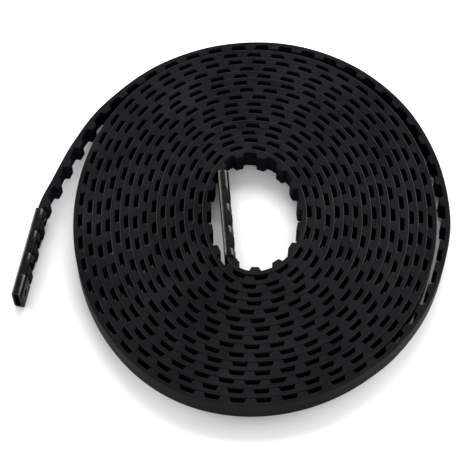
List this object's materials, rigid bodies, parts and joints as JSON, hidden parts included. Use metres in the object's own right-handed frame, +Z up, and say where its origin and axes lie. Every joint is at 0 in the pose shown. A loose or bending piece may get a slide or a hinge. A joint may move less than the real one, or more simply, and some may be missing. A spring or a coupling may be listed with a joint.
{
  "type": "open-ended toothed drive belt, coiled",
  "caption": "Open-ended rubber toothed drive belt wound edge-up into a flat oval coil, teeth inwards, with a crimped steel clip on each free end.",
  "frame": {"origin": "on the surface it lies on, under the middle of its bounding box", "axes": "+Z up out of the coil's face, along the belt's width; +X the coil's longer way, from the outer clip's side to the far side; +Y across it"},
  "size_m": [0.2176, 0.2076, 0.0148],
  "materials": {
    "backing_rubber": "smooth moulded black rubber, soft sheen",
    "toothed_rubber": "matt black rubber, fine cut-edge grain",
    "cord_fibre": "twisted fibre cord, dull",
    "clip_steel": "black oxide on pressed sheet, semi-gloss, worn at the folds"
  },
  "bodies": {
    "coil": {"coil_teeth": "toothed_rubber", "coil_tension_cords": "cord_fibre", "coil_backing": "backing_rubber"},
    "outer_run_1": {"outer_run_1_teeth": "toothed_rubber", "outer_run_1_tension_cords": "cord_fibre", "outer_run_1_backing": "backing_rubber"},
    "outer_run_2": {"outer_run_2_teeth": "toothed_rubber", "outer_run_2_tension_cords": "cord_fibre", "outer_run_2_backing": "backing_rubber"},
    "outer_end": {"outer_end_teeth": "toothed_rubber", "outer_end_tension_cords": "cord_fibre", "outer_end_backing": "backing_rubber", "outer_clip": "clip_steel"},
    "inner_run": {"inner_run_teeth": "toothed_rubber", "inner_run_tension_cords": "cord_fibre", "inner_run_backing": "backing_rubber"},
    "inner_end": {"inner_end_teeth": "toothed_rubber", "inner_end_tension_cords": "cord_fibre", "inner_end_backing": "backing_rubber", "inner_clip": "clip_steel"}
  },
  "joints": [
    {"name": "outer_root_flex", "type": "hinge", "parent": "coil", "child": "outer_run_1", "pos_m": [-0.06338, 0.06743, 0.0074], "axis": [0, 0, -1], "range_deg": [-4, 20], "stiffness_Nm_per_rad": 0.009},
    {"name": "outer_middle_flex", "type": "hinge", "parent": "outer_run_1", "child": "outer_run_2", "pos_m": [-0.07808, 0.04683, 0.0074], "axis": [0, 0, -1], "range_deg": [-4, 20], "stiffness_Nm_per_rad": 0.009},
    {"name": "outer_clip_flex", "type": "hinge", "parent": "outer_run_2", "child": "outer_end", "pos_m": [-0.08887, 0.02386, 0.0074], "axis": [0, 0, -1], "range_deg": [-4, 20], "stiffness_Nm_per_rad": 0.009},
    {"name": "inner_root_flex", "type": "hinge", "parent": "coil", "child": "inner_run", "pos_m": [0.02701, -0.02484, 0.0074], "axis": [0, 0, -1], "range_deg": [0, 3], "stiffness_Nm_per_rad": 0.009},
    {"name": "inner_clip_flex", "type": "hinge", "parent": "inner_run", "child": "inner_end", "pos_m": [0.00441, -0.03232, 0.0074], "axis": [0, 0, -1], "range_deg": [0, 12], "stiffness_Nm_per_rad": 0.009}
  ],
  "couplings": [
    {"joint": "outer_middle_flex", "follows": "outer_root_flex", "ratio": 1},
    {"joint": "outer_clip_flex", "follows": "outer_root_flex", "ratio": 1},
    {"joint": "inner_root_flex", "follows": "inner_clip_flex", "ratio": 0.2}
  ]
}
